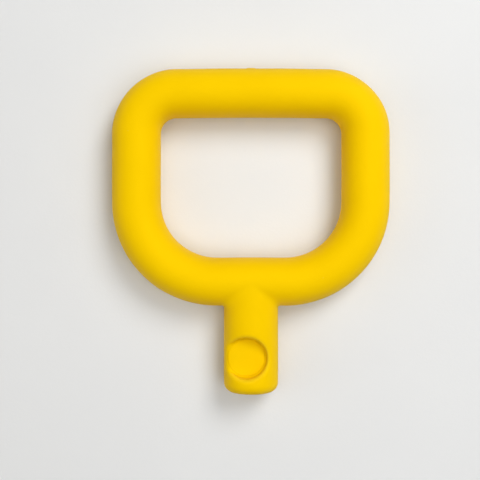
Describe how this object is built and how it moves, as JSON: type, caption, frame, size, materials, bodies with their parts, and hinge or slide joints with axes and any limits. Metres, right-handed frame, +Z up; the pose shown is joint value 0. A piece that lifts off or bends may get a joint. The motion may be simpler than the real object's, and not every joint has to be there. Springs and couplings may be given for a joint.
{
  "type": "loop pull handle",
  "caption": "Soft D-shaped finger loop on a short oval stem, with a round recess near the stem's end and a threaded hole in the end face.",
  "frame": {"origin": "centre of the bounding box at its lowest height, where the handle lies on a table", "axes": "+Z up out of the loop's plane on the side of the recess, +Y along the stem's axis from the stem's end to the grip bar, +X to the right seen from above with the grip bar at the top"},
  "size_m": [0.0728, 0.0846, 0.0126],
  "materials": {
    "soft_skin": "soft matte moulded elastomer, warm yellow, with a fine mould grain",
    "stiff_core": "matte moulded nylon in the skin's yellow",
    "insert_brass": "turned brass"
  },
  "bodies": {
    "root": {"grip_cover": "soft_skin", "core_frame": "stiff_core", "thread_insert": "insert_brass"}
  },
  "joints": []
}
